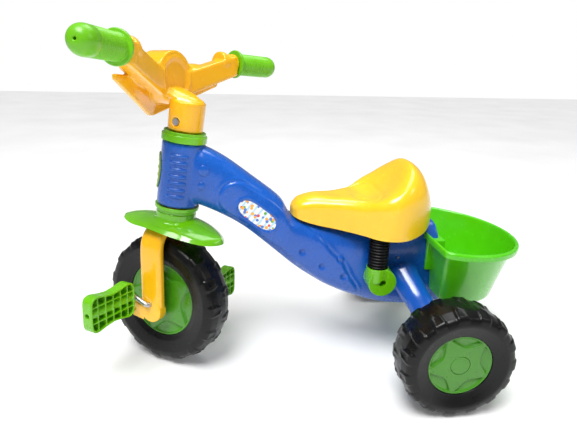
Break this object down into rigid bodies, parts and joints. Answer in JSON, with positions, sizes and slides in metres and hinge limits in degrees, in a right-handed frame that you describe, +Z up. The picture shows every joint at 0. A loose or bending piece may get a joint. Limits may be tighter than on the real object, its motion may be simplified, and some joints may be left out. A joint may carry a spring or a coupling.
{
  "type": "children's tricycle",
  "caption": "Moulded plastic children's tricycle with a front pedal wheel, steering fork, bucket seat and rear basket.",
  "frame": {"origin": "centre of the toy's bounding box in plan, on the floor under the tyres", "axes": "+X forward, towards the front wheel; +Y to the rider's left; +Z up"},
  "size_m": [0.7342, 0.44, 0.5527],
  "materials": {
    "frame_blue": "moulded, glossy",
    "leg_blue": "moulded, glossy",
    "fastener_steel": "zinc plated",
    "axle_steel": "drawn bar",
    "tyre_black": "blow moulded, satin",
    "hub_green": "moulded, glossy",
    "collar_green": "moulded, glossy",
    "badge_green": "moulded",
    "label_yellow": "printed film",
    "seat_yellow": "blow moulded, glossy",
    "basket_green": "moulded, glossy",
    "bellows_black": "ribbed, satin",
    "bracket_green": "moulded, glossy",
    "fork_yellow": "moulded, glossy",
    "mudguard_green": "moulded, glossy",
    "handlebar_yellow": "moulded, glossy",
    "grip_green": "moulded, ribbed",
    "pedal_green": "moulded, ribbed"
  },
  "bodies": {
    "frame_body": {"frame": "frame_blue", "left_rear_leg": "leg_blue", "right_rear_leg": "leg_blue", "body_screws": "fastener_steel", "rear_axle": "axle_steel", "rear_spacers": "fastener_steel", "rear_push_nuts": "fastener_steel", "upper_head_collar": "collar_green", "lower_head_collar": "hub_green", "head_badge": "badge_green", "left_label": "label_yellow", "right_label": "label_yellow", "seat": "seat_yellow", "seat_screws": "fastener_steel", "basket": "basket_green", "basket_screws": "fastener_steel", "left_shock_bellows": "bellows_black", "right_shock_bellows": "bellows_black", "left_shock_bracket": "bracket_green", "right_shock_bracket": "bracket_green"},
    "steering": {"fork": "fork_yellow", "mudguard": "mudguard_green", "left_axle_clamp": "fork_yellow", "right_axle_clamp": "fork_yellow", "clamp_screws": "fastener_steel", "handlebar": "handlebar_yellow", "left_grip": "grip_green", "right_grip": "grip_green", "stem_bolt": "fastener_steel", "stem_nut": "fastener_steel"},
    "front_wheel": {"front_tyre": "tyre_black", "front_hubcaps": "hub_green", "crank_axle": "axle_steel", "pedal_washers": "fastener_steel", "pedal_push_nuts": "fastener_steel"},
    "left_pedal": {"left_pedal": "pedal_green"},
    "right_pedal": {"right_pedal": "pedal_green"},
    "left_rear_wheel": {"left_rear_tyre": "tyre_black", "left_rear_hubcap": "hub_green", "left_rear_centre_cap": "hub_green"},
    "right_rear_wheel": {"right_rear_tyre": "tyre_black", "right_rear_hubcap": "hub_green", "right_rear_centre_cap": "hub_green"}
  },
  "joints": [
    {"name": "steer", "type": "hinge", "parent": "frame_body", "child": "steering", "pos_m": [0.25418, 0, 0.11502], "axis": [-0.1478, 0, 0.989], "range_deg": [-12, 78]},
    {"name": "front_wheel_spin", "type": "hinge", "parent": "steering", "child": "front_wheel", "pos_m": [0.25081, 0.00215, 0.11512], "axis": [0.5387, 0.8387, 0.0805], "continuous": true},
    {"name": "left_pedal_spin", "type": "hinge", "parent": "front_wheel", "child": "left_pedal", "pos_m": [0.33403, 0.07458, 0.13534], "axis": [0.5387, 0.8387, 0.0805], "continuous": true},
    {"name": "right_pedal_spin", "type": "hinge", "parent": "front_wheel", "child": "right_pedal", "pos_m": [0.16759, -0.07027, 0.09489], "axis": [0.5387, 0.8387, 0.0805], "continuous": true},
    {"name": "left_rear_wheel_spin", "type": "hinge", "parent": "frame_body", "child": "left_rear_wheel", "pos_m": [-0.19582, 0.185, 0.09], "axis": [0, 1, 0], "continuous": true},
    {"name": "right_rear_wheel_spin", "type": "hinge", "parent": "frame_body", "child": "right_rear_wheel", "pos_m": [-0.19582, -0.185, 0.09], "axis": [0, 1, 0], "continuous": true}
  ]
}
